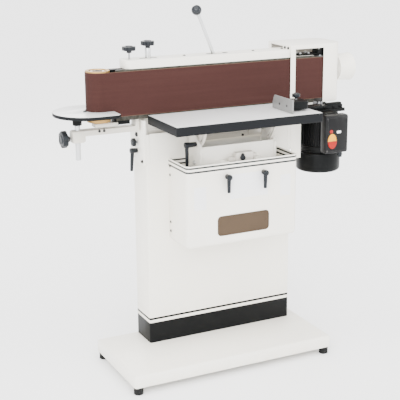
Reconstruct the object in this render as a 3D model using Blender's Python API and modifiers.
"""Oscillating edge belt sander on a pedestal column, with tilting head, main table and end table.

Metres, +Z up, +X along the belt towards the motor, +Y to the back. The machine stands on its four feet
at z = 0, and the origin is under the middle of its outer box.
"""

import math

import bmesh
import bpy
from mathutils import Matrix, Vector

# Clearances
GAP = 0.0003
RUNNING = 0.0003
SLIDING = 0.001

# Levelling feet and base tray
FOOT_HEIGHT = 0.028
FOOT_RADIUS = 0.017
FOOT_STUD_RADIUS = 0.005
FOOT_INSET = 0.019
BASE_LENGTH = 0.784
BASE_DEPTH = 0.368
BASE_HEIGHT = 0.044
BASE_WALL = 0.004
BASE_LIP = 0.036
BASE_ROUNDING = 0.009
BASE_OFFSET_X = -0.0575
BASE_OFFSET_Y = -0.1165

# Column
COLUMN_LENGTH = 0.580
COLUMN_DEPTH = 0.1216
COLUMN_WALL = 0.003
COLUMN_TOP = 0.745
COLUMN_FRONT_TOP = 0.850
COLUMN_BACK_TOP = 0.780
COLUMN_WING = 0.014
WINDOW_LEFT = -0.115
WINDOW_RIGHT = 0.205
WINDOW_SILL = 0.800

# Front dust box
BOX_LEFT = -0.208
BOX_RIGHT = 0.230
BOX_DEPTH = 0.1524
BOX_BOTTOM = 0.459
BOX_TOP = 0.757
BOX_WALL = 0.003
BOX_ROUNDING = 0.016
HANDLE_HEIGHT = 0.708
HANDLE_SPACING = 0.144
HANDLE_MIDDLE = 0.017

# Head tilt
TILT_Z = 0.840
SIDE_PLATE_THICKNESS = 0.009
SIDE_PLATE_BOTTOM = 0.738
SIDE_PLATE_TOP = 0.898
SIDE_PLATE_ARC = 0.0595
FLANGE_WIDTH = 0.035
FLANGE_BOTTOM = 0.700
PIVOT_RADIUS = 0.005
EAR_RADIUS = 0.056
EAR_THICKNESS = 0.008
STAR_DROP = 0.028
STAR_STAND = 0.015
LEVER_DROP = 0.057

# Belt, rollers and head
HEAD_Y = -0.018
BELT_BOTTOM = 0.9204
BELT_WIDTH = 0.1524
BELT_THICKNESS = 0.001
ROLLER_RADIUS = 0.0417
IDLER_X = -(COLUMN_LENGTH / 2 + 0.154)
DRIVE_X = COLUMN_LENGTH / 2 + 0.148
ROLLER_BOTTOM = 0.903
ROLLER_TOP = 1.0775
AXLE_RADIUS = 0.009
SHAFT_RADIUS = 0.012
CRADLE_BOTTOM = 0.802
CRADLE_TOP = 0.910
CRADLE_PLATE = 0.008
CRADLE_LEFT = -(COLUMN_LENGTH / 2 + 0.028)
CRADLE_RIGHT = COLUMN_LENGTH / 2 + 0.050
CRADLE_FRONT = -0.044
CRADLE_BACK = 0.012
CRADLE_WALL = 0.004
BEAM_BOTTOM = 0.9155
BEAM_TOP = 1.079
BEAM_LEFT = CRADLE_LEFT + 0.018
BEAM_RIGHT = DRIVE_X - 0.046
BEAM_BACK = 0.014
BEAM_WALL = 0.005
GUIDE_RADIUS = 0.008
PLATEN_THICKNESS = 0.010
GRAPHITE_THICKNESS = 0.003
PLATEN_LEFT = IDLER_X + 0.052
PLATEN_RIGHT = DRIVE_X - 0.050
PLATEN_BOTTOM = 0.906
COVER_LEFT = IDLER_X + 0.086
COVER_RIGHT = DRIVE_X - 0.138
COVER_HEIGHT = 0.0277
COVER_FRONT = -0.060
COVER_BACK = 0.018
COVER_ROUNDING = 0.026
COVER_WALL = 0.0025

# Drive end
MOTOR_RADIUS = 0.074
MOTOR_TOP = 0.8677
COWL_RADIUS = 0.084
COWL_BOTTOM = 0.638
COWL_TOP = 0.712
MOTOR_PLATE = 0.012
MOTOR_PLATE_LEFT = DRIVE_X - 0.093
MOTOR_PLATE_RIGHT = DRIVE_X + 0.070
MOTOR_PLATE_FRONT = -0.090
MOTOR_PLATE_BACK = 0.100
HOOD_LEFT = DRIVE_X - 0.155
HOOD_RIGHT = DRIVE_X + 0.067
HOOD_FRONT = -0.066
HOOD_BACK = 0.100
HOOD_BOTTOM = 0.905
HOOD_TOP = 1.122
HOOD_WALL = 0.0025
HOOD_WINDOW_RIGHT = DRIVE_X - 0.014
HOOD_BAR = 0.020
HOOD_BAR_BOTTOM = 0.929
HOOD_ROUNDING = 0.042
PORT_RADIUS = 0.052
PORT_LENGTH = 0.0667
PORT_Y = -0.008
PORT_Z = 1.022
SWITCH_LEFT = DRIVE_X - 0.066
SWITCH_WIDTH = 0.100
SWITCH_BOTTOM = 0.730
SWITCH_TOP = 0.873
SWITCH_FRONT = -0.172
SWITCH_DEPTH = 0.0397
BUTTON_ACROSS = 0.29

# Main table
TABLE_LEFT = -0.2847
TABLE_LENGTH = 0.5588
TABLE_DEPTH = 0.240
TABLE_THICKNESS = 0.032
TABLE_TOP = 0.9177
TABLE_GAP = 0.0038
TABLE_TILT_SETBACK = 0.0122
TABLE_TILT_DROP = 0.0247
TABLE_SKIN = 0.0127
TABLE_WALL = 0.013
CHEEK_THICKNESS = 0.008
CHEEK_LEFT = -0.132
CHEEK_RIGHT = 0.169
CHEEK_BOTTOM = 0.690
TRUNNION_RADIUS = 0.110
SLOT_RADIUS = 0.096
SLOT_FROM = 206
SLOT_TO = 237
STUD_RADIUS = 0.005
CROSS_PLATE_Y = -0.154
CROSS_PLATE_TOP = 0.806
CROSS_PLATE_BOTTOM = 0.620
POST_RADIUS = 0.009
POST_Y = -0.180
BOSS_WIDTH = 0.036
STOP_X = TABLE_LEFT + TABLE_LENGTH - 0.1061
STOP_HEIGHT = 0.0483
STOP_NEAR = -0.140
STOP_LENGTH = 0.138
STOP_THICKNESS = 0.006
STOP_KNOB_REACH = 0.060
STOP_KNOB_Y = -0.196
STOP_KNOB_HEIGHT = 0.049
STOP_BAR_WIDTH = 0.040
STOP_BAR_END = STOP_X + 0.170

# End table
END_TABLE_TOP = 0.942
END_TABLE_THICKNESS = 0.012
END_TABLE_RADIUS = 0.118
END_TABLE_MIDDLE = IDLER_X - 0.040
END_TABLE_RIGHT = IDLER_X + 0.039
NOTCH_CLEARANCE = 0.003
END_POST_X = IDLER_X - 0.078
END_POST_BOTTOM = 0.776
COLLAR_RADIUS = 0.017
COLLAR_HEIGHT = 0.033
CLAMP_WIDTH = 0.048
CLAMP_BOTTOM = 0.837
CLAMP_TOP = 0.880
REACH_BOTTOM = 0.860
REACH_TOP = 0.878

# Tension and tracking controls
LEVER_X = -0.002
LEVER_Z = 1.0903
LEVER_LEAN = math.radians(22.5)
LEVER_LENGTH = 0.1848
LEVER_RADIUS = 0.006
BALL_RADIUS = 0.018
TRACKING_X = IDLER_X + 0.116
TRACKING_Z = 1.144
LOCK_X = IDLER_X + 0.185
LOCK_Z = 1.159
KNOB_RADIUS = 0.024
KNOB_THICKNESS = 0.017

# Places worked out from the sizes above
BELT_OUTER = ROLLER_RADIUS + GAP + BELT_THICKNESS
BELT_FRONT = HEAD_Y - BELT_OUTER
BELT_TOP = BELT_BOTTOM + BELT_WIDTH
COLUMN_FRONT = -COLUMN_DEPTH / 2
BASE_TOP = FOOT_HEIGHT + BASE_HEIGHT
BOX_BACK = COLUMN_FRONT - GAP
BOX_FRONT = BOX_BACK - BOX_DEPTH
SIDE_INNER = COLUMN_LENGTH / 2 + GAP
SIDE_OUTER = SIDE_INNER + SIDE_PLATE_THICKNESS
EAR_OUTER = SIDE_INNER - 3 * GAP
TABLE_BACK = BELT_FRONT - TABLE_GAP
TABLE_FRONT = TABLE_BACK - TABLE_DEPTH
TABLE_UNDER = TABLE_TOP - TABLE_THICKNESS
TABLE_TILT_Y = TABLE_BACK - TABLE_TILT_SETBACK
TABLE_TILT_Z = TABLE_TOP - TABLE_TILT_DROP
COVER_TOP = BEAM_TOP + GAP + COVER_HEIGHT
GRAPHITE_FRONT = HEAD_Y - ROLLER_RADIUS
PLATEN_FRONT = GRAPHITE_FRONT + GRAPHITE_THICKNESS + GAP
BEAM_FRONT = PLATEN_FRONT + PLATEN_THICKNESS + GAP
HANDLE_XS = (HANDLE_MIDDLE - HANDLE_SPACING / 2, HANDLE_MIDDLE + HANDLE_SPACING / 2)
END_TABLE_TIP = END_TABLE_MIDDLE - END_TABLE_RADIUS
PORT_END = HOOD_RIGHT + GAP + PORT_LENGTH
SHIFT_X = -(END_TABLE_TIP + PORT_END) / 2
SHIFT_Y = -(TABLE_FRONT + MOTOR_PLATE_BACK) / 2

COLLECTION = "edge_belt_sander"
CUTTERS = "cutters"

FINISHES = {
    "white_paint": ((0.86, 0.85, 0.81), 0.35, 0.0),
    "black_paint": ((0.02, 0.02, 0.022), 0.35, 0.0),
    "black_plastic": ((0.03, 0.032, 0.035), 0.4, 0.0),
    "cast_table": ((0.72, 0.72, 0.72), 0.3, 0.9),
    "bright_steel": ((0.62, 0.63, 0.64), 0.25, 1.0),
    "bronze_rim": ((0.62, 0.45, 0.22), 0.35, 0.8),
    "graphite": ((0.12, 0.12, 0.10), 0.6, 0.0),
    "abrasive": ((0.20, 0.075, 0.06), 0.9, 0.0),
    "rubber": ((0.02, 0.02, 0.02), 0.8, 0.0),
    "grey_paint": ((0.42, 0.42, 0.41), 0.4, 0.0),
    "yellow_plastic": ((0.85, 0.52, 0.05), 0.35, 0.0),
    "red_plastic": ((0.6, 0.04, 0.02), 0.35, 0.0),
}

origins = {}


def collection(name, hidden=False):
    """The collection of this name, made on first use."""
    found = bpy.data.collections.get(name)
    if not found:
        found = bpy.data.collections.new(name)
        found.hide_render = hidden
        bpy.context.scene.collection.children.link(found)
    return found


def finish_of(name):
    """The material of this name, made on first use."""
    found = bpy.data.materials.get(name)
    if not found:
        colour, roughness, metallic = FINISHES[name]
        found = bpy.data.materials.new(name)
        found.use_nodes = True
        shader = found.node_tree.nodes["Principled BSDF"]
        shader.inputs["Base Color"].default_value = (*colour, 1)
        shader.inputs["Roughness"].default_value = roughness
        shader.inputs["Metallic"].default_value = metallic
    return found


def axis_empty(name, place, parent=None):
    """An empty on a joint's axis, which carries the pieces that turn or slide there."""
    empty = bpy.data.objects.new(name, None)
    collection(COLLECTION).objects.link(empty)
    origins[name] = Vector(place)
    if parent:
        empty.parent = bpy.data.objects[parent]
        empty.location = origins[name] - origins[parent]
    else:
        empty.location = Vector(place) + Vector((SHIFT_X, SHIFT_Y, 0))
    return empty


def settle(obj, place, parent, finish):
    """Puts an object at a place given in the column's coordinates, under its parent."""
    collection(COLLECTION).objects.link(obj)
    obj.parent = bpy.data.objects[parent]
    obj.location = Vector(place) - origins[parent]
    obj.data.materials.clear()
    obj.data.materials.append(finish_of(finish))
    return obj


def mesh_of(name, bm, smooth=True):
    """A mesh from a bmesh, shaded smooth below 35 degrees."""
    bmesh.ops.recalc_face_normals(bm, faces=bm.faces)
    mesh = bpy.data.meshes.new(name)
    bm.to_mesh(mesh)
    bm.free()
    if smooth:
        mesh.shade_smooth()
        mesh.set_sharp_from_angle(angle=math.radians(35))
    return mesh


def block_mesh(name, low, high, rounding=0.0, edges=None, segments=2):
    """A box between two corners, centred on its middle, with the chosen edges rounded."""
    low, high = Vector(low), Vector(high)
    bm = bmesh.new()
    bmesh.ops.create_cube(bm, size=1.0)
    bmesh.ops.scale(bm, vec=high - low, verts=bm.verts)
    if rounding:
        picked = [edge for edge in bm.edges if edges is None or edges(edge)]
        bmesh.ops.bevel(
            bm, geom=picked, offset=rounding, segments=segments, affect="EDGES", profile=0.5
        )
    return mesh_of(name, bm), (low + high) / 2


def block(name, low, high, finish, parent, rounding=0.0, edges=None, segments=2):
    """A box as an object on a parent axis."""
    mesh, middle = block_mesh(name, low, high, rounding, edges, segments)
    return settle(bpy.data.objects.new(name, mesh), middle, parent, finish)


def upright(edge):
    """True for an edge that runs along Z."""
    a, b = edge.verts
    return abs(a.co.z - b.co.z) > 1e-6


def turn_to(direction):
    """The rotation that lays +Z along a direction."""
    return Vector((0, 0, 1)).rotation_difference(Vector(direction).normalized()).to_euler()


def bar_mesh(name, start, end, radius, end_radius=None, segments=20):
    """The mesh of a round bar between two points, and its middle."""
    start, end = Vector(start), Vector(end)
    bm = bmesh.new()
    bmesh.ops.create_cone(
        bm, cap_ends=True, segments=segments, radius1=radius, radius2=end_radius or radius,
        depth=(end - start).length,
    )
    return mesh_of(name, bm), (start + end) / 2


def bar(name, start, end, radius, finish, parent, end_radius=None, segments=20):
    """A round bar between two points, which may taper."""
    mesh, middle = bar_mesh(name, start, end, radius, end_radius, segments)
    obj = settle(bpy.data.objects.new(name, mesh), middle, parent, finish)
    obj.rotation_euler = turn_to(Vector(end) - Vector(start))
    return obj


def turned(name, profile, place, finish, parent, axis=(0, 0, 1), steps=28, ring=False):
    """A turned shape: (radius, height) pairs down the outer side, and up the bore when it is a ring."""
    mesh = bpy.data.meshes.new(name)
    points = [(radius, 0, height) for radius, height in profile]
    joins = [(i, i + 1) for i in range(len(points) - 1)]
    if ring:
        joins.append((len(points) - 1, 0))
    mesh.from_pydata(points, joins, [])
    obj = settle(bpy.data.objects.new(name, mesh), place, parent, finish)
    obj.rotation_euler = turn_to(axis)
    screw = obj.modifiers.new("Turn", "SCREW")
    screw.steps = screw.render_steps = steps
    screw.use_merge_vertices = True
    screw.merge_threshold = 0.00001
    screw.use_smooth_shade = False
    return obj


def circle(radius, middle=(0, 0), steps=24, start=0.0, end=360.0):
    """Points along a circle or, with other limits in degrees, along an arc with both ends."""
    whole = abs(end - start) >= 360
    count = steps if whole else steps + 1
    turns = [math.radians(start + (end - start) * i / steps) for i in range(count)]
    return [(middle[0] + radius * math.cos(t), middle[1] + radius * math.sin(t)) for t in turns]


def flat_mesh(name, outlines, thickness):
    """A flat plate in the XY plane, from an outline and the outlines of its holes."""
    curve = bpy.data.curves.new(name, "CURVE")
    curve.dimensions = "2D"
    curve.fill_mode = "BOTH"
    curve.extrude = thickness / 2
    for outline in outlines:
        spline = curve.splines.new("POLY")
        spline.points.add(len(outline) - 1)
        for point, (x, y) in zip(spline.points, outline):
            point.co = (x, y, 0, 1)
        spline.use_cyclic_u = True
    maker = bpy.data.objects.new(name + "_outline", curve)
    bpy.context.scene.collection.objects.link(maker)
    graph = bpy.context.evaluated_depsgraph_get()
    mesh = bpy.data.meshes.new_from_object(maker.evaluated_get(graph))
    bpy.data.objects.remove(maker)
    bm = bmesh.new()
    bm.from_mesh(mesh)
    bmesh.ops.remove_doubles(bm, verts=bm.verts, dist=0.000001)
    bpy.data.meshes.remove(mesh)
    return mesh_of(name, bm)


FACING = {
    "Z": Matrix.Identity(3),
    "X": Matrix(((0, 0, 1), (1, 0, 0), (0, 1, 0))),
    "Y": Matrix(((1, 0, 0), (0, 0, -1), (0, 1, 0))),
}


def flat(name, outlines, thickness, place, facing, finish, parent):
    """A flat plate: its outline lies in XY, in YZ facing X, or in XZ facing Y."""
    obj = bpy.data.objects.new(name, flat_mesh(name, outlines, thickness))
    settle(obj, place, parent, finish)
    obj.rotation_euler = FACING[facing].to_euler()
    return obj


def hide_as_cutter(obj):
    """Takes a used cutter out of every collection."""
    for owner in list(obj.users_collection):
        owner.objects.unlink(obj)
    collection(CUTTERS, hidden=True).objects.link(obj)
    obj.hide_render = True
    obj.display_type = "WIRE"


def combine(target, operation, others):
    """Applies one Boolean step after another to a target, and returns the target."""
    for other in others:
        hide_as_cutter(other)
        step = target.modifiers.new(operation.title(), "BOOLEAN")
        step.operation = operation
        step.solver = "EXACT"
        step.object = other
    return target


def cut(target, *others):
    """Takes shapes away from a target."""
    return combine(target, "DIFFERENCE", others)


def join(target, *others):
    """Adds shapes to a target."""
    return combine(target, "UNION", others)


def cutter_box(name, low, high, parent, rounding=0.0, edges=None):
    """A box that is only used in a Boolean."""
    return block(name, low, high, "grey_paint", parent, rounding, edges)


def cutter_bar(name, start, end, radius, parent, segments=20):
    """A round bar that is only used in a Boolean."""
    return bar(name, start, end, radius, "grey_paint", parent, segments=segments)


def lobed_outline(radius, lobes, depth, steps=40):
    """The wavy rim of a star knob."""
    points = []
    for i in range(steps):
        turn = 2 * math.pi * i / steps
        reach = radius - depth * (1 - math.cos(lobes * turn)) / 2
        points.append((reach * math.cos(turn), reach * math.sin(turn)))
    return points


def lobed_knob(name, place, axis, radius, thickness, stud_length, stud_radius, parent, lobes=7):
    """A star knob at a place on its axis, with its neck and its stud running back along the axis."""
    mesh = flat_mesh(name, [lobed_outline(radius, lobes, radius * 0.16)], thickness)
    obj = settle(bpy.data.objects.new(name, mesh), place, parent, "black_plastic")
    obj.rotation_euler = turn_to(axis)
    back = -Vector(axis).normalized()
    neck_end = Vector(place) + back * (thickness / 2 + radius * 0.35)
    stud_end = Vector(place) + back * stud_length
    neck = bar(name + "_neck", place, neck_end, radius * 0.42, "black_plastic", parent)
    stud = bar(name + "_stud", place, stud_end, stud_radius, "bright_steel", parent, segments=12)
    return join(obj, neck, stud)


def clamp_handle(name, place, axis, arm, stud_length, parent, hub_radius=0.010, hub_length=0.022):
    """A clamping lever: a hub on its stud, and an arm that leaves the outer end of the hub."""
    place, axis, arm = Vector(place), Vector(axis).normalized(), Vector(arm)
    tip = place + axis * hub_length
    root = tip - axis * hub_radius * 0.8
    hub = bar(name, place, tip, hub_radius, "black_plastic", parent)
    reach = bar(name + "_arm", root, root + arm, hub_radius * 0.55, "black_plastic", parent,
                end_radius=hub_radius * 0.45, segments=14)
    stud = bar(name + "_stud", place - axis * stud_length, place + axis * hub_length / 2,
               STUD_RADIUS, "bright_steel", parent, segments=12)
    return join(hub, reach, stud)


def clear_scene():
    """Empties the file."""
    for obj in list(bpy.data.objects):
        bpy.data.objects.remove(obj, do_unlink=True)


def build_axes():
    """One empty for each joint, in the column's coordinates."""
    middle = (0, 0, 0)
    axis_empty("machine", middle)
    axis_empty("head_tilt", (0, 0, TILT_Z), "machine")
    axis_empty("head_float", (DRIVE_X, HEAD_Y, BEAM_BOTTOM), "head_tilt")
    axis_empty("drive_axis", (DRIVE_X, HEAD_Y, ROLLER_BOTTOM), "head_float")
    axis_empty("tension_slide", (IDLER_X, HEAD_Y, BELT_BOTTOM), "head_float")
    axis_empty("idler_axis", (IDLER_X, HEAD_Y, ROLLER_BOTTOM), "tension_slide")
    axis_empty("lever_axis", (LEVER_X, HEAD_Y, LEVER_Z), "head_float")
    axis_empty("tracking_axis", (TRACKING_X, HEAD_Y, TRACKING_Z), "head_float")
    axis_empty("lock_axis", (LOCK_X, HEAD_Y, LOCK_Z), "head_float")
    axis_empty("button_slide", (SWITCH_LEFT + SWITCH_WIDTH * BUTTON_ACROSS, SWITCH_FRONT, button_z()),
               "head_float")
    axis_empty("end_table_lift", (END_POST_X, HEAD_Y, END_TABLE_TOP), "head_tilt")
    axis_empty("end_knob_axis", (end_knob_x(), HEAD_Y, clamp_middle()), "head_tilt")
    axis_empty("table_lift", (0, CROSS_PLATE_Y, TABLE_UNDER), "machine")
    axis_empty("table_tilt", (0, TABLE_TILT_Y, TABLE_TILT_Z), "table_lift")
    axis_empty("table_lock_axis", (CHEEK_LEFT, *stud_place()), "table_lift")
    axis_empty("stop_slide", (STOP_X, STOP_NEAR, TABLE_TOP), "table_tilt")
    axis_empty("stop_knob_axis", stop_knob_place(), "stop_slide")
    axis_empty("star_axis", (-SIDE_OUTER, 0, TILT_Z - STAR_DROP), "machine")
    axis_empty("tilt_lock_axis", (-SIDE_OUTER, 0, TILT_Z - LEVER_DROP), "machine")
    for side, x in zip(("left", "right"), HANDLE_XS):
        axis_empty(f"handle_{side}_axis", (x, BOX_FRONT, HANDLE_HEIGHT), "machine")


def button_z():
    """The height of the middle of the two push buttons."""
    return SWITCH_BOTTOM + (SWITCH_TOP - SWITCH_BOTTOM) * 0.328


def clamp_middle():
    """The height of the end table knob."""
    return (CLAMP_BOTTOM + CLAMP_TOP) / 2 - 0.006


def end_knob_x():
    """The inner face of the end table knob."""
    return END_POST_X - CLAMP_WIDTH / 2 - 0.027


def stud_place():
    """(y, z) of the table lock's stud, at the low end of the trunnion's slot."""
    turn = math.radians(SLOT_TO - 1)
    return TABLE_TILT_Y + SLOT_RADIUS * math.cos(turn), TABLE_TILT_Z + SLOT_RADIUS * math.sin(turn)


def stop_knob_place():
    """The middle of the work stop knob."""
    return (STOP_X + STOP_KNOB_REACH, STOP_KNOB_Y, TABLE_TOP + STOP_KNOB_HEIGHT)


def build_feet():
    """Four rubber levelling feet, whose studs pass up through the tray's turned-in lip."""
    left = BASE_OFFSET_X - BASE_LENGTH / 2 + FOOT_INSET
    right = BASE_OFFSET_X + BASE_LENGTH / 2 - FOOT_INSET
    front = BASE_OFFSET_Y - BASE_DEPTH / 2 + FOOT_INSET
    back = BASE_OFFSET_Y + BASE_DEPTH / 2 - FOOT_INSET
    spots = {
        "foot_front_left": (left, front), "foot_front_right": (right, front),
        "foot_back_left": (left, back), "foot_back_right": (right, back),
    }
    pad_top = FOOT_HEIGHT - GAP
    profile = [
        (0, FOOT_HEIGHT + BASE_HEIGHT * 0.6), (FOOT_STUD_RADIUS, FOOT_HEIGHT + BASE_HEIGHT * 0.6),
        (FOOT_STUD_RADIUS, pad_top), (FOOT_RADIUS * 0.8, pad_top), (FOOT_RADIUS, pad_top - 0.006),
        (FOOT_RADIUS, 0.003), (FOOT_RADIUS - 0.002, 0), (0, 0),
    ]
    for name, (x, y) in spots.items():
        axis_empty(name + "_axis", (x, y, 0), "machine")
        turned(name, profile, (x, y, 0), "rubber", name + "_axis", steps=20)
    return list(spots.values())


def build_base(foot_spots):
    """A pressed steel tray with rounded edges, open below inside a turned-in lip."""
    left, right = BASE_OFFSET_X - BASE_LENGTH / 2, BASE_OFFSET_X + BASE_LENGTH / 2
    front, back = BASE_OFFSET_Y - BASE_DEPTH / 2, BASE_OFFSET_Y + BASE_DEPTH / 2
    tray = block("base_plate", (left, front, FOOT_HEIGHT), (right, back, BASE_TOP), "white_paint",
                 "machine", BASE_ROUNDING, lambda edge: upright(edge) or edge.verts[0].co.z > 0, 3)
    hollow = cutter_box(
        "base_hollow", (left + BASE_WALL, front + BASE_WALL, FOOT_HEIGHT + BASE_WALL),
        (right - BASE_WALL, back - BASE_WALL, BASE_TOP - BASE_WALL), "machine",
    )
    mouth = cutter_box(
        "base_mouth", (left + BASE_LIP, front + BASE_LIP, FOOT_HEIGHT - 0.01),
        (right - BASE_LIP, back - BASE_LIP, FOOT_HEIGHT + BASE_HEIGHT / 2), "machine",
    )
    holes = [
        cutter_bar(f"base_hole_{i}", (x, y, 0.02), (x, y, FOOT_HEIGHT + 0.01),
                   FOOT_STUD_RADIUS + RUNNING, "machine", 16)
        for i, (x, y) in enumerate(foot_spots)
    ]
    cut(tray, hollow, mouth, *holes)


def build_column():
    """A folded steel column, with a windowed front wall that stands above its open top."""
    half, deep, over = COLUMN_LENGTH / 2, COLUMN_DEPTH / 2, 0.05
    foot = BASE_TOP + GAP
    column = block("column", (-half, -deep, foot), (half, deep, COLUMN_FRONT_TOP), "white_paint",
                   "machine", 0.006, upright)
    inside = cutter_box(
        "column_inside", (-half + COLUMN_WALL, -deep + COLUMN_WALL, foot + 2 * COLUMN_WALL),
        (half - COLUMN_WALL, deep - COLUMN_WALL, COLUMN_FRONT_TOP + over), "machine",
    )
    wing = half - COLUMN_WING
    left_open = cutter_box("column_left_open", (-half - over, -deep - over, COLUMN_TOP),
                           (-wing, deep + over, COLUMN_FRONT_TOP + over), "machine")
    right_open = cutter_box("column_right_open", (wing, -deep - over, COLUMN_TOP),
                            (half + over, deep + over, COLUMN_FRONT_TOP + over), "machine")
    back_open = cutter_box("column_back_open", (-half - over, 0, COLUMN_BACK_TOP),
                           (half + over, deep + over, COLUMN_FRONT_TOP + over), "machine")
    window = cutter_box("column_window", (WINDOW_LEFT, -deep - over, WINDOW_SILL),
                        (WINDOW_RIGHT, 0, COLUMN_FRONT_TOP + over), "machine")
    cut(column, inside, left_open, right_open, back_open, window)


def build_front_box():
    """The open-topped dust box on the column's front, with the two posts that guide the table."""
    box = block("front_box", (BOX_LEFT, BOX_FRONT, BOX_BOTTOM), (BOX_RIGHT, BOX_BACK + 0.05, BOX_TOP + 0.05),
                "white_paint", "machine", BOX_ROUNDING, segments=3)
    trim_top = cutter_box("box_trim_top", (BOX_LEFT - 0.1, BOX_FRONT - 0.1, BOX_TOP),
                          (BOX_RIGHT + 0.1, BOX_BACK + 0.2, BOX_TOP + 0.1), "machine")
    trim_back = cutter_box("box_trim_back", (BOX_LEFT - 0.1, BOX_BACK, BOX_BOTTOM - 0.1),
                           (BOX_RIGHT + 0.1, BOX_BACK + 0.1, BOX_TOP + 0.2), "machine")
    inside = cutter_box(
        "box_inside", (BOX_LEFT + BOX_WALL, BOX_FRONT + BOX_WALL, BOX_BOTTOM + BOX_WALL),
        (BOX_RIGHT - BOX_WALL, BOX_BACK - BOX_WALL, BOX_TOP + 0.1), "machine",
        BOX_ROUNDING - BOX_WALL,
    )
    holes = [
        cutter_bar(f"box_hole_{i}", (x, BOX_FRONT - 0.02, HANDLE_HEIGHT),
                   (x, BOX_FRONT + 0.02, HANDLE_HEIGHT),
                   STUD_RADIUS + RUNNING, "machine", 16)
        for i, x in enumerate(HANDLE_XS)
    ]
    cut(box, trim_top, trim_back, inside, *holes)
    for side, x in zip(("left", "right"), HANDLE_XS):
        bar(f"guide_post_{side}", (x, POST_Y, BOX_BOTTOM + BOX_WALL + GAP), (x, POST_Y, BOX_TOP - 0.006),
            POST_RADIUS, "bright_steel", "machine")
        clamp_handle(f"lock_handle_{side}", (x, BOX_FRONT - GAP, HANDLE_HEIGHT), (0, -1, 0), (0, 0, -0.058),
                     POST_Y - BOSS_WIDTH / 2 - BOX_FRONT - 3 * SLIDING, f"handle_{side}_axis",
                     hub_radius=0.0105, hub_length=0.024)


def side_plate_outline():
    """The plate's outline in YZ: square at the front, and round the pivot at the back and top."""
    deep = COLUMN_DEPTH / 2
    top = SIDE_PLATE_TOP - TILT_Z
    turn = math.degrees(math.asin(min(top / SIDE_PLATE_ARC, 1)))
    arc = circle(SIDE_PLATE_ARC, steps=8, start=0, end=turn)
    bottom = SIDE_PLATE_BOTTOM - TILT_Z
    return [(SIDE_PLATE_ARC, bottom), *arc, (-deep, arc[-1][1]), (-deep, bottom)]


def build_side_plates():
    """The two plates that carry the head's pivots, each with its pivot pin."""
    for side, sign in (("left", -1), ("right", 1)):
        x = sign * (SIDE_INNER + SIDE_PLATE_THICKNESS / 2)
        holes = [circle(PIVOT_RADIUS + RUNNING, steps=16)]
        if sign < 0:
            holes.append(circle(STUD_RADIUS + RUNNING, (0, -STAR_DROP), 16))
            holes.append(circle(STUD_RADIUS + RUNNING, (0, -LEVER_DROP), 16))
        plate = flat(f"{side}_side_plate", [side_plate_outline(), *holes], SIDE_PLATE_THICKNESS,
                     (x, 0, TILT_Z), "X", "white_paint", "machine")
        if sign > 0:
            flange = block("right_flange", (SIDE_OUTER - 0.004, COLUMN_FRONT, FLANGE_BOTTOM),
                           (SIDE_OUTER + FLANGE_WIDTH, COLUMN_FRONT + 0.004, SIDE_PLATE_TOP - 0.001),
                           "white_paint", "machine")
            join(plate, flange)
        head = SIDE_OUTER + GAP
        pin = [(0, 0.004), (0.007, 0.004), (0.008, 0.002), (0.008, 0), (PIVOT_RADIUS, 0),
               (PIVOT_RADIUS, -0.022), (0, -0.022)]
        turned(f"{side}_pivot_pin", pin, (sign * head, 0, TILT_Z), "black_paint", "machine",
               axis=(sign, 0, 0), steps=16)
    lobed_knob("tilt_star_knob", (-SIDE_OUTER - STAR_STAND, 0, TILT_Z - STAR_DROP), (-1, 0, 0), 0.015, 0.012,
               STAR_STAND + SIDE_PLATE_THICKNESS - GAP, STUD_RADIUS, "star_axis", lobes=5)
    clamp_handle("tilt_lock_lever", (-SIDE_OUTER - GAP, 0, TILT_Z - LEVER_DROP), (-1, 0, 0),
                 (-0.003, 0.004, -0.076), SIDE_PLATE_THICKNESS, "tilt_lock_axis", hub_length=0.026)


def build_cradle():
    """The tilting cradle: a hollow beam between two ears, a long plate on top and two guide pins."""
    inner = EAR_OUTER - EAR_THICKNESS
    under = CRADLE_TOP - CRADLE_PLATE
    cradle = block("head_cradle", (-inner, CRADLE_FRONT + 0.002, CRADLE_BOTTOM),
                   (inner, CRADLE_BACK, under + 0.002), "white_paint", "head_tilt")
    plate = block("cradle_plate", (CRADLE_LEFT, CRADLE_FRONT, under),
                  (CRADLE_RIGHT, CRADLE_BACK, CRADLE_TOP), "white_paint", "head_tilt")
    ears = []
    for sign in (-1, 1):
        top = under + 0.001 - TILT_Z
        outline = circle(EAR_RADIUS, steps=12, start=180, end=360) + [(EAR_RADIUS * 0.6, top),
                                                                     (-EAR_RADIUS * 0.72, top)]
        ears.append(flat(f"ear_{sign}", [outline], EAR_THICKNESS + 0.001,
                         (sign * (EAR_OUTER - (EAR_THICKNESS + 0.001) / 2), 0, TILT_Z), "X",
                         "white_paint", "head_tilt"))
    pins = [bar(f"guide_pin_{i}", (x, HEAD_Y, CRADLE_TOP - 0.004), (x, HEAD_Y, CRADLE_TOP + 0.050),
                GUIDE_RADIUS, "bright_steel", "head_tilt") for i, x in enumerate(guide_xs())]
    join(cradle, plate, *ears, *pins)
    hollow = cutter_box("cradle_hollow", (-inner + 2 * CRADLE_WALL, CRADLE_FRONT + 0.002 + CRADLE_WALL,
                                          CRADLE_BOTTOM + CRADLE_WALL),
                        (inner - 2 * CRADLE_WALL, CRADLE_BACK + 0.05, under - 0.002), "head_tilt")
    bores = [cutter_bar(f"ear_bore_{sign}", (sign * (EAR_OUTER + 0.01), 0, TILT_Z),
                        (sign * (EAR_OUTER - 2 * EAR_THICKNESS - 0.012), 0, TILT_Z),
                        PIVOT_RADIUS + RUNNING, "head_tilt", 16) for sign in (-1, 1)]
    cut(cradle, hollow, *bores)


def guide_xs():
    """Where the two guide pins stand along the cradle."""
    return (CRADLE_LEFT + 0.118, CRADLE_RIGHT - 0.110)


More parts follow.
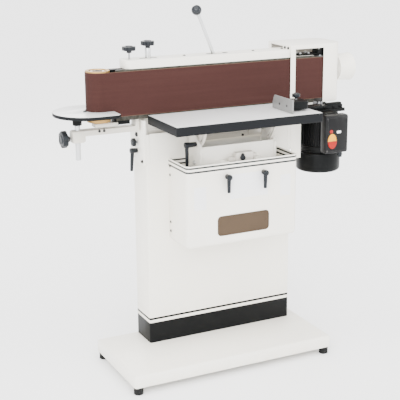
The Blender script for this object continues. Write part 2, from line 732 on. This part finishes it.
def build_beam():
    """The head's hollow beam, which floats on the guide pins and carries the motor on its end."""
    beam = block("head_beam", (BEAM_LEFT, BEAM_FRONT, BEAM_BOTTOM), (BEAM_RIGHT, BEAM_BACK, BEAM_TOP),
                 "white_paint", "head_float")
    neck = block("beam_neck", (MOTOR_PLATE_LEFT, BEAM_FRONT, MOTOR_TOP + MOTOR_PLATE / 2),
                 (BEAM_RIGHT, BEAM_BACK, BEAM_BOTTOM + 0.01),
                 "white_paint", "head_float")
    plate = block("motor_plate", (MOTOR_PLATE_LEFT - 0.001, MOTOR_PLATE_FRONT, MOTOR_TOP + GAP),
                  (MOTOR_PLATE_RIGHT, MOTOR_PLATE_BACK, MOTOR_TOP + MOTOR_PLATE), "white_paint", "head_float")
    join(beam, neck, plate)
    inside = cutter_box("beam_inside", (BEAM_LEFT - 0.02, BEAM_FRONT + BEAM_WALL, BEAM_BOTTOM + BEAM_WALL),
                        (BEAM_RIGHT - 0.040, BEAM_BACK - BEAM_WALL, BEAM_TOP - BEAM_WALL), "head_float")
    bores = [cutter_bar(f"beam_bore_{i}", (x, HEAD_Y, BEAM_BOTTOM - 0.01),
                        (x, HEAD_Y, BEAM_BOTTOM + 0.02), GUIDE_RADIUS + RUNNING, "head_float")
             for i, x in enumerate(guide_xs())]
    shaft = cutter_bar("plate_bore", (DRIVE_X, HEAD_Y, MOTOR_TOP - 0.02), (DRIVE_X, HEAD_Y, MOTOR_TOP + 0.05),
                       SHAFT_RADIUS + 2 * RUNNING, "head_float")
    slot = cutter_box("beam_lever_slot", (LEVER_X - 0.020, HEAD_Y - 0.009, BEAM_TOP - 0.02),
                      (LEVER_X + 0.020, HEAD_Y + 0.009, BEAM_TOP + 0.01), "head_float")
    rod = cutter_bar("beam_rod_hole", (LOCK_X, HEAD_Y, BEAM_TOP - 0.02), (LOCK_X, HEAD_Y, BEAM_TOP + 0.02),
                     0.0045, "head_float", 14)
    cut(beam, inside, *bores, shaft, slot, rod)
    front_lip = PLATEN_FRONT
    block("platen", (PLATEN_LEFT, front_lip, PLATEN_BOTTOM),
          (PLATEN_RIGHT, front_lip + PLATEN_THICKNESS, BEAM_TOP - GAP),
          "bright_steel", "head_float", 0.004, upright)
    block("graphite_pad", (PLATEN_LEFT, GRAPHITE_FRONT, PLATEN_BOTTOM),
          (PLATEN_RIGHT, GRAPHITE_FRONT + GRAPHITE_THICKNESS, BEAM_TOP - GAP), "graphite", "head_float")


def build_cover():
    """The folded cover over the beam, round at the idler end and slotted for the controls."""
    def idler_corner(edge):
        return upright(edge) and edge.verts[0].co.x < 0

    low = BEAM_TOP + GAP
    cover = block("top_cover", (COVER_LEFT, COVER_FRONT, low), (COVER_RIGHT, COVER_BACK, COVER_TOP),
                  "white_paint",
                  "head_float", COVER_ROUNDING, idler_corner, 5)
    inside = cutter_box("cover_inside", (COVER_LEFT + COVER_WALL, COVER_FRONT + COVER_WALL, low - 0.01),
                        (COVER_RIGHT - COVER_WALL, COVER_BACK - COVER_WALL, COVER_TOP - COVER_WALL),
                        "head_float",
                        COVER_ROUNDING - COVER_WALL, idler_corner)
    lever_slot = cutter_box("cover_lever_slot", (LEVER_X - 0.033, HEAD_Y - 0.009, COVER_TOP - 0.01),
                            (LEVER_X + 0.050, HEAD_Y + 0.009, COVER_TOP + 0.01), "head_float")
    lock_slot = cutter_box("cover_lock_slot", (LOCK_X - 0.031, HEAD_Y - 0.006, COVER_TOP - 0.01),
                           (LOCK_X + 0.034, HEAD_Y + 0.006, COVER_TOP + 0.01), "head_float")
    rod_hole = cutter_bar("cover_rod_hole", (TRACKING_X, HEAD_Y, COVER_TOP - 0.01),
                          (TRACKING_X, HEAD_Y, COVER_TOP + 0.01), 0.0045, "head_float", 14)
    cut(cover, inside, lever_slot, lock_slot, rod_hole)


def build_controls():
    """The tension lever with its ball, and the two lobed knobs on top of the cover."""
    up = Vector((-math.sin(LEVER_LEAN), 0, math.cos(LEVER_LEAN)))
    pivot = Vector((LEVER_X, HEAD_Y, LEVER_Z))
    ball = pivot + up * LEVER_LENGTH
    lever = bar("tension_lever", pivot, ball - up * (BALL_RADIUS * 0.9 + GAP), LEVER_RADIUS, "bright_steel",
                "lever_axis", end_radius=LEVER_RADIUS * 0.85)
    hub = bar("lever_hub", (LEVER_X, HEAD_Y - 0.008, LEVER_Z), (LEVER_X, HEAD_Y + 0.008, LEVER_Z), 0.0085,
              "bright_steel", "lever_axis")
    join(lever, hub)
    bm = bmesh.new()
    bmesh.ops.create_uvsphere(bm, u_segments=24, v_segments=14, radius=BALL_RADIUS)
    knob = settle(bpy.data.objects.new("tension_ball", mesh_of("tension_ball", bm)), ball, "lever_axis",
                  "black_plastic")
    knob.rotation_euler = turn_to(up)
    cut(knob, cutter_bar("ball_flat", ball - up * (BALL_RADIUS + 0.01), ball - up * BALL_RADIUS * 0.9,
                         BALL_RADIUS, "lever_axis"))
    lobed_knob("tracking_knob", (TRACKING_X, HEAD_Y, TRACKING_Z), (0, 0, 1), KNOB_RADIUS,
               KNOB_THICKNESS, TRACKING_Z - BEAM_TOP + 0.015, 0.003, "tracking_axis", lobes=6)
    lobed_knob("tracking_lock_knob", (LOCK_X, HEAD_Y, LOCK_Z), (0, 0, 1), KNOB_RADIUS,
               KNOB_THICKNESS, LOCK_Z - BEAM_TOP + 0.019, 0.003, "lock_axis", lobes=6)
    low, high = COVER_TOP + GAP, LOCK_Z - KNOB_THICKNESS / 2 - KNOB_RADIUS * 0.35 - GAP
    turned("lock_knob_sleeve", [(0.010, high), (0.010, low), (0.0036, low), (0.0036, high)],
           (LOCK_X, HEAD_Y, 0), "bright_steel", "head_float", steps=20, ring=True)


def build_idler():
    """The sliding tension bracket with its axle, its spring, and the idler roller."""
    bottom = ROLLER_BOTTOM - 0.018
    arm = block("tension_bracket", (IDLER_X - 0.020, HEAD_Y - 0.018, bottom),
                (IDLER_X + 0.062, HEAD_Y + 0.018, bottom + 0.012),
                "black_paint", "tension_slide")
    web = block("bracket_web", (IDLER_X + 0.050, HEAD_Y - 0.014, bottom + 0.002),
                (BEAM_LEFT - 0.036, HEAD_Y + 0.014, BELT_TOP - 0.013),
                "black_paint", "tension_slide")
    bar_low, bar_high = (BEAM_BOTTOM + BEAM_TOP) / 2 - 0.016, (BEAM_BOTTOM + BEAM_TOP) / 2 + 0.016
    slide = block("bracket_slide", (BEAM_LEFT - 0.045, HEAD_Y - 0.012, bar_low),
                  (BEAM_LEFT + 0.150, HEAD_Y + 0.012, bar_high),
                  "black_paint", "tension_slide")
    axle = bar("idler_axle", (IDLER_X, HEAD_Y, bottom + 0.006), (IDLER_X, HEAD_Y, ROLLER_TOP - 0.002),
               AXLE_RADIUS,
               "bright_steel", "tension_slide")
    join(arm, web, slide, axle)
    bore = AXLE_RADIUS + RUNNING
    rim = ROLLER_RADIUS
    turned("idler_roller", [
        (rim, ROLLER_TOP), (rim, ROLLER_BOTTOM), (rim - 0.009, ROLLER_BOTTOM),
        (rim - 0.009, ROLLER_BOTTOM + 0.010),
        (bore, ROLLER_BOTTOM + 0.010), (bore, ROLLER_TOP - 0.006), (rim - 0.009, ROLLER_TOP - 0.006),
        (rim - 0.009, ROLLER_TOP)], (IDLER_X, HEAD_Y, 0), "bronze_rim", "idler_axis", steps=40, ring=True)
    build_spring(BEAM_LEFT + 0.150 + SLIDING, (bar_low + bar_high) / 2)


def build_spring(start, height):
    """The coil spring that pushes the bracket outwards, along the beam's inside."""
    turns, radius, wire, length = 6, 0.009, 0.0015, 0.070
    points = []
    for i in range(turns * 10 + 1):
        turn = 2 * math.pi * i / 10
        points.append((start + wire + length * i / (turns * 10), HEAD_Y + radius * math.cos(turn),
                       height + radius * math.sin(turn)))
    curve = bpy.data.curves.new("tension_spring", "CURVE")
    curve.dimensions = "3D"
    curve.bevel_depth = wire
    curve.bevel_resolution = 1
    curve.use_fill_caps = True
    spline = curve.splines.new("POLY")
    spline.points.add(len(points) - 1)
    origin = Vector((start, HEAD_Y, height))
    for point, place in zip(spline.points, points):
        point.co = (*(Vector(place) - origin), 1)
    settle(bpy.data.objects.new("tension_spring", curve), origin, "tension_slide", "bright_steel")


def build_belt():
    """The abrasive belt as one closed loop round both rollers."""
    def loop(radius, steps=20):
        left = circle(radius, (IDLER_X - DRIVE_X, 0), steps, 90, 270)
        right = circle(radius, (0, 0), steps, -90, 90)
        return right + left
    flat("sanding_belt", [loop(BELT_OUTER), loop(ROLLER_RADIUS + GAP)], BELT_WIDTH,
         (DRIVE_X, HEAD_Y, BELT_BOTTOM + BELT_WIDTH / 2), "Z", "abrasive", "head_float")


def build_drive():
    """Motor, fan cowl, rotor with its long shaft, fan, drive roller and the upper bearing plate."""
    place = (DRIVE_X, HEAD_Y, 0)
    hole = SHAFT_RADIUS + 2 * RUNNING
    low = COWL_TOP + GAP
    turned("motor_body", [
        (MOTOR_RADIUS, MOTOR_TOP), (MOTOR_RADIUS, low), (hole, low), (hole, low + 0.012),
        (0.056, low + 0.012), (0.056, MOTOR_TOP - 0.014), (hole, MOTOR_TOP - 0.014), (hole, MOTOR_TOP)],
        place, "black_paint", "head_float", steps=36, ring=True)
    turned("fan_cowl", [
        (COWL_RADIUS, COWL_TOP), (COWL_RADIUS, COWL_BOTTOM + 0.010), (COWL_RADIUS - 0.010, COWL_BOTTOM),
        (0, COWL_BOTTOM), (0, COWL_BOTTOM + 0.003), (COWL_RADIUS - 0.012, COWL_BOTTOM + 0.003),
        (COWL_RADIUS - 0.003, COWL_BOTTOM + 0.012), (COWL_RADIUS - 0.003, COWL_TOP - 0.003),
        (MOTOR_RADIUS - 0.010, COWL_TOP - 0.003), (MOTOR_RADIUS - 0.010, COWL_TOP)],
        place, "black_paint", "head_float", steps=36, ring=True)
    fan_low = COWL_BOTTOM + 0.015
    turned("motor_rotor", [
        (0, ROLLER_TOP + 0.016), (SHAFT_RADIUS, ROLLER_TOP + 0.016), (SHAFT_RADIUS, MOTOR_TOP - 0.022),
        (0.045, MOTOR_TOP - 0.022), (0.045, low + 0.022), (SHAFT_RADIUS, low + 0.022),
        (SHAFT_RADIUS, fan_low - 0.003), (0, fan_low - 0.003)], place, "bright_steel", "drive_axis", steps=24)
    turned("motor_fan", [
        (0.022, fan_low + 0.040), (0.022, fan_low + 0.006), (0.070, fan_low + 0.006), (0.070, fan_low),
        (SHAFT_RADIUS + RUNNING, fan_low), (SHAFT_RADIUS + RUNNING, fan_low + 0.040)],
        place, "black_plastic", "drive_axis", steps=24, ring=True)
    bore = SHAFT_RADIUS + RUNNING
    rim = ROLLER_RADIUS
    turned("drive_roller", [
        (rim, ROLLER_TOP - 0.002), (rim, ROLLER_BOTTOM + 0.002), (rim - 0.008, ROLLER_BOTTOM + 0.002),
        (rim - 0.008, ROLLER_BOTTOM + 0.014), (bore, ROLLER_BOTTOM + 0.014), (bore, ROLLER_TOP - 0.010),
        (rim - 0.008, ROLLER_TOP - 0.010), (rim - 0.008, ROLLER_TOP - 0.002)],
        place, "rubber", "drive_axis", steps=40, ring=True)
    bearing = block("upper_bearing_plate", (COVER_RIGHT + 0.030, HEAD_Y - 0.022, BEAM_TOP + GAP),
                    (DRIVE_X + 0.032, HEAD_Y + 0.022, BEAM_TOP + 0.006), "black_paint", "head_float", 0.006,
                    upright)
    boss = bar("bearing_boss", (DRIVE_X, HEAD_Y, BEAM_TOP + GAP), (DRIVE_X, HEAD_Y, BEAM_TOP + 0.019), 0.030,
               "black_paint", "head_float", segments=24)
    join(bearing, boss)
    cut(bearing, cutter_bar("bearing_bore", (DRIVE_X, HEAD_Y, BEAM_TOP - 0.01),
                            (DRIVE_X, HEAD_Y, BEAM_TOP + 0.03),
                            SHAFT_RADIUS + 2 * RUNNING, "head_float"))


def build_hood():
    """The dust hood over the drive end: open below and to the left, with a windowed front and an outlet."""
    def corner(edge):
        return upright(edge) and edge.verts[0].co.x > 0

    hood = block("hood", (HOOD_LEFT, HOOD_FRONT, HOOD_BOTTOM), (HOOD_RIGHT, HOOD_BACK, HOOD_TOP),
                 "white_paint",
                 "head_float", HOOD_ROUNDING, corner, 5)
    inside = cutter_box("hood_inside", (HOOD_LEFT + HOOD_WALL, HOOD_FRONT + HOOD_WALL, HOOD_BOTTOM - 0.01),
                        (HOOD_RIGHT - HOOD_WALL, HOOD_BACK - HOOD_WALL, HOOD_TOP - HOOD_WALL), "head_float",
                        HOOD_ROUNDING - HOOD_WALL, corner)
    ledge = COVER_TOP - 0.004
    window = cutter_box("hood_window", (HOOD_LEFT + HOOD_BAR, HOOD_FRONT - 0.02, HOOD_BOTTOM - 0.02),
                        (HOOD_WINDOW_RIGHT, HOOD_FRONT + 0.02, HOOD_TOP - HOOD_WALL - 0.012), "head_float")
    under_bar = cutter_box("hood_under_bar", (HOOD_LEFT - 0.02, HOOD_FRONT - 0.02, HOOD_BOTTOM - 0.02),
                           (HOOD_LEFT + HOOD_BAR + 0.01, HOOD_FRONT + 0.02, HOOD_BAR_BOTTOM), "head_float")
    side = cutter_box("hood_side_open", (HOOD_LEFT - 0.02, HOOD_FRONT + HOOD_WALL, HOOD_BOTTOM - 0.02),
                      (HOOD_LEFT + 0.02, HOOD_BACK - 0.020, ledge + 0.012), "head_float")
    bore = cutter_bar("hood_port_hole", (HOOD_RIGHT - 0.02, PORT_Y, PORT_Z),
                      (HOOD_RIGHT + 0.02, PORT_Y, PORT_Z),
                      PORT_RADIUS - 0.004, "head_float", 28)
    cut(hood, inside, window, under_bar, side, bore)
    wall = PORT_RADIUS - 0.0025
    turned("dust_port", [
        (wall, PORT_LENGTH), (PORT_RADIUS, PORT_LENGTH - 0.001), (PORT_RADIUS, 0), (wall - 0.001, 0),
        (wall - 0.001, PORT_LENGTH)], (HOOD_RIGHT + GAP, PORT_Y, PORT_Z), "white_paint", "head_float",
        axis=(1, 0, 0), steps=32, ring=True)


def build_switch():
    """The switch box on its bracket under the hood, with its two push buttons and its cable gland."""
    right, back = SWITCH_LEFT + SWITCH_WIDTH, SWITCH_FRONT + SWITCH_DEPTH
    box = block("switch_box", (SWITCH_LEFT, SWITCH_FRONT, SWITCH_BOTTOM), (right, back, SWITCH_TOP),
                "black_plastic", "head_float", 0.008)
    middle_x, z = SWITCH_LEFT + SWITCH_WIDTH * BUTTON_ACROSS, button_z()
    pocket = cutter_box("switch_pocket", (middle_x - 0.019, SWITCH_FRONT - 0.01, z - 0.0285),
                        (middle_x + 0.019, SWITCH_FRONT + 0.012, z + 0.0285), "head_float")
    cut(box, pocket)
    arm_left, arm_right = SWITCH_LEFT + 0.023, right - 0.022
    bracket = block("switch_bracket", (arm_left, back + GAP, SWITCH_BOTTOM + 0.040),
                    (arm_right, back + GAP + 0.004, MOTOR_TOP + 0.0065), "black_paint", "head_float")
    shelf = block("bracket_shelf", (arm_left, back + GAP, MOTOR_TOP + 0.0005),
                  (arm_right, MOTOR_PLATE_FRONT - GAP, MOTOR_TOP + 0.0065), "black_paint", "head_float")
    join(bracket, shelf)
    for name, low, high, proud, colour in (
            ("switch_stop_button", z - 0.028, z - GAP / 2, 0.004, "red_plastic"),
            ("switch_start_button", z + GAP / 2, z + 0.028, 0.002, "yellow_plastic")):
        block(name, (middle_x - 0.0185, SWITCH_FRONT - proud, low),
              (middle_x + 0.0185, SWITCH_FRONT + 0.0057, high),
              colour, "button_slide", 0.0025, None, 1)
    turned("switch_gland", [(0.005, 0), (0.010, 0), (0.010, -0.012), (0.007, -0.020), (0.005, -0.020)],
           (right - 0.023, SWITCH_FRONT + SWITCH_DEPTH / 2, SWITCH_BOTTOM - GAP), "black_plastic",
           "head_float",
           steps=18, ring=True)


def build_table():
    """The main table, ribbed underneath, on its two trunnions, and the carriage that lifts it."""
    right = TABLE_LEFT + TABLE_LENGTH
    table = block("main_table", (TABLE_LEFT, TABLE_FRONT, TABLE_UNDER), (right, TABLE_BACK, TABLE_TOP),
                  "cast_table", "table_tilt", 0.0015, None, 1)
    ribs = [(TABLE_LEFT + TABLE_WALL, CHEEK_LEFT - 0.004), (CHEEK_LEFT + 0.029, CHEEK_RIGHT - 0.029),
            (CHEEK_RIGHT + 0.004, right - TABLE_WALL)]
    cut(table, *[cutter_box(f"table_pocket_{i}", (low, TABLE_FRONT + TABLE_WALL, TABLE_UNDER - 0.01),
                            (high, TABLE_BACK - TABLE_WALL, TABLE_TOP - TABLE_SKIN), "table_tilt")
                 for i, (low, high) in enumerate(ribs)])
    gap = SLIDING
    for side, x in (("left", CHEEK_LEFT + CHEEK_THICKNESS + gap),
                    ("right", CHEEK_RIGHT - CHEEK_THICKNESS - gap)):
        middle = x + CHEEK_THICKNESS / 2 if side == "left" else x - CHEEK_THICKNESS / 2
        under = TABLE_UNDER - GAP - TABLE_TILT_Z
        start = 180 + math.degrees(math.asin(-under / TRUNNION_RADIUS))
        rim = circle(TRUNNION_RADIUS, steps=14, start=start, end=SLOT_TO + 7)
        outline = [*rim, (-0.020, under - 0.020), (-0.020, under)]
        slot = (circle(SLOT_RADIUS + STUD_RADIUS + RUNNING, steps=10, start=SLOT_FROM - 4, end=SLOT_TO + 3)
                + circle(SLOT_RADIUS - STUD_RADIUS - RUNNING, steps=10, start=SLOT_TO + 3, end=SLOT_FROM - 4))
        flat(f"table_trunnion_{side}", [outline, slot], CHEEK_THICKNESS,
             (middle, TABLE_TILT_Y, TABLE_TILT_Z), "X",
             "white_paint", "table_tilt")
    build_carriage()
    y, z = stud_place()
    clamp_handle("table_lock_lever", (CHEEK_LEFT - GAP, y, z), (-1, 0, 0), (0, 0, -0.078),
                 2 * CHEEK_THICKNESS + 0.006, "table_lock_axis", hub_length=0.044)


def build_carriage():
    """Two cheeks joined by a cross plate, with a boss round each guide post."""
    back = BOX_BACK - 0.006 - TABLE_TILT_Y
    low = CHEEK_BOTTOM - TABLE_TILT_Z
    front = CROSS_PLATE_Y - 0.010 - TABLE_TILT_Y
    reach = TRUNNION_RADIUS * 1.18
    tip = circle(reach, steps=1, start=223.5, end=224.5)[0]
    outline = [(back, -0.025), (-0.013, -0.025), tip, (front, tip[1] - 0.006), (front, low + 0.030),
               (front + 0.025, low), (back, low)]
    y, z = stud_place()
    bore = circle(STUD_RADIUS + RUNNING, (y - TABLE_TILT_Y, z - TABLE_TILT_Z), 16)
    cheeks = [
        flat(name, [outline, bore], CHEEK_THICKNESS, (x, TABLE_TILT_Y, TABLE_TILT_Z), "X", "white_paint",
             "table_lift")
        for name, x in (("table_carriage", CHEEK_LEFT + CHEEK_THICKNESS / 2),
                        ("right_cheek", CHEEK_RIGHT - CHEEK_THICKNESS / 2))
    ]
    plate = block("cross_plate", (CHEEK_LEFT + 0.002, CROSS_PLATE_Y - 0.004, CROSS_PLATE_BOTTOM),
                  (CHEEK_RIGHT - 0.002, CROSS_PLATE_Y + 0.004, CROSS_PLATE_TOP), "white_paint", "table_lift")
    bosses = [
        block(f"post_boss_{i}", (x - BOSS_WIDTH / 2, POST_Y - BOSS_WIDTH / 2, CROSS_PLATE_BOTTOM + 0.010),
              (x + BOSS_WIDTH / 2, CROSS_PLATE_Y - 0.002, CROSS_PLATE_BOTTOM + 0.135), "white_paint",
              "table_lift")
        for i, x in enumerate(HANDLE_XS)
    ]
    carriage = join(cheeks[0], cheeks[1], plate, *bosses)
    bores = [cutter_bar(f"post_bore_{i}", (x, POST_Y, CROSS_PLATE_BOTTOM - 0.05),
                        (x, POST_Y, CROSS_PLATE_BOTTOM + 0.2),
                        POST_RADIUS + RUNNING, "table_lift") for i, x in enumerate(HANDLE_XS)]
    cut(carriage, *bores)


def build_work_stop():
    """The stop plate across the table, its arm, its knob, and the slotted bar the arm slides on."""
    knob_x, knob_y, knob_z = stop_knob_place()
    base, half = TABLE_TOP + SLIDING, STOP_BAR_WIDTH / 2
    bar_high, arm_high = base + 0.0055, knob_z - 0.0145
    hole = (circle(0.0045, (knob_x + 0.071 - STOP_X, 0), 12, -90, 90)
            + circle(0.0045, (knob_x - 0.016 - STOP_X, 0), 12, 90, 270))
    strip = [(0.032, -half), (STOP_BAR_END - STOP_X, -half), (STOP_BAR_END - STOP_X, half), (0.032, half)]
    flat("stop_bar", [strip, hole], 0.006, (STOP_X, knob_y, TABLE_TOP + GAP + 0.003), "Z", "bright_steel",
         "table_tilt")
    block("work_stop_plate", (STOP_X - STOP_THICKNESS / 2, STOP_NEAR - STOP_LENGTH, base),
          (STOP_X + STOP_THICKNESS / 2, STOP_NEAR, TABLE_TOP + STOP_HEIGHT), "grey_paint", "stop_slide",
          0.001, None, 1)
    arm = block("work_stop_arm", (STOP_X + STOP_THICKNESS / 2 + GAP, knob_y - 0.052, bar_high + GAP),
                (knob_x + 0.024, knob_y + 0.018, arm_high), "black_paint", "stop_slide", 0.012,
                lambda edge: upright(edge) and edge.verts[0].co.x > 0, 3)
    cut(arm, cutter_bar("arm_bore", (knob_x, knob_y, base - 0.01), (knob_x, knob_y, knob_z + 0.01),
                        0.0035 + RUNNING, "stop_slide", 12))
    lobed_knob("work_stop_knob", (knob_x, knob_y, knob_z), (0, 0, 1), 0.015, 0.014, knob_z - base - 0.002,
               0.0035, "stop_knob_axis", lobes=5)


def build_end_table():
    """The half-round end table on its post, and the clamp arm and knob that hold the post."""
    notch = BELT_OUTER + NOTCH_CLEARANCE
    right = END_TABLE_RIGHT - IDLER_X
    left_middle = END_TABLE_MIDDLE - IDLER_X
    outer = circle(END_TABLE_RADIUS, (left_middle, 0), 28, 90, 270)
    inner = circle(notch, (0, 0), 20, 270, 90)
    outline = [*outer, (right - 0.012, -END_TABLE_RADIUS), (right, -END_TABLE_RADIUS + 0.012),
               (right, -notch),
               *inner, (right, notch), (right, END_TABLE_RADIUS - 0.012), (right - 0.012, END_TABLE_RADIUS)]
    flat("end_table", [outline], END_TABLE_THICKNESS,
         (IDLER_X, HEAD_Y, END_TABLE_TOP - END_TABLE_THICKNESS / 2),
         "Z", "cast_table", "end_table_lift")
    under = END_TABLE_TOP - END_TABLE_THICKNESS - GAP
    turned("end_table_post", [
        (0, under), (COLLAR_RADIUS, under), (COLLAR_RADIUS - 0.002, under - COLLAR_HEIGHT),
        (POST_RADIUS, under - COLLAR_HEIGHT),
        (POST_RADIUS, END_POST_BOTTOM), (0, END_POST_BOTTOM)], (END_POST_X, HEAD_Y, 0), "bright_steel",
        "end_table_lift", steps=20)
    half = CLAMP_WIDTH / 2
    side = CLAMP_WIDTH * 5 / 12
    arm = block("end_table_arm", (END_POST_X - half, HEAD_Y - half * 0.85, CLAMP_BOTTOM),
                (END_POST_X + half, HEAD_Y + half * 0.85, CLAMP_TOP), "white_paint", "head_tilt", 0.008)
    reach = block("arm_reach", (END_POST_X + 0.013, HEAD_Y - side, REACH_BOTTOM),
                  (CRADLE_LEFT + 0.014, HEAD_Y + side, REACH_TOP), "white_paint", "head_tilt")
    riser = block("arm_riser", (CRADLE_LEFT, HEAD_Y - side, REACH_BOTTOM + 0.002),
                  (CRADLE_LEFT + 0.014, HEAD_Y + side, CRADLE_TOP - CRADLE_PLATE - GAP), "white_paint",
                  "head_tilt")
    join(arm, reach, riser)
    cut(arm,
        cutter_bar("clamp_bore", (END_POST_X, HEAD_Y, CLAMP_BOTTOM - 0.01),
                   (END_POST_X, HEAD_Y, CLAMP_TOP + 0.01),
                   POST_RADIUS + RUNNING, "head_tilt"),
        cutter_bar("clamp_knob_bore", (END_POST_X - half - 0.01, HEAD_Y, clamp_middle()),
                   (END_POST_X - POST_RADIUS + 0.001, HEAD_Y, clamp_middle()), 0.004 + RUNNING, "head_tilt",
                   14))
    x = end_knob_x()
    lobed_knob("end_table_knob", (x, HEAD_Y, clamp_middle()), (-1, 0, 0), 0.0295, 0.022,
               END_POST_X - POST_RADIUS - 0.001 - x, 0.004, "end_knob_axis", lobes=6)


def main():
    """Builds the machine from the floor up."""
    clear_scene()
    build_axes()
    build_base(build_feet())
    build_column()
    build_front_box()
    build_side_plates()
    build_cradle()
    build_beam()
    build_cover()
    build_controls()
    build_idler()
    build_belt()
    build_drive()
    build_hood()
    build_switch()
    build_table()
    build_work_stop()
    build_end_table()


main()
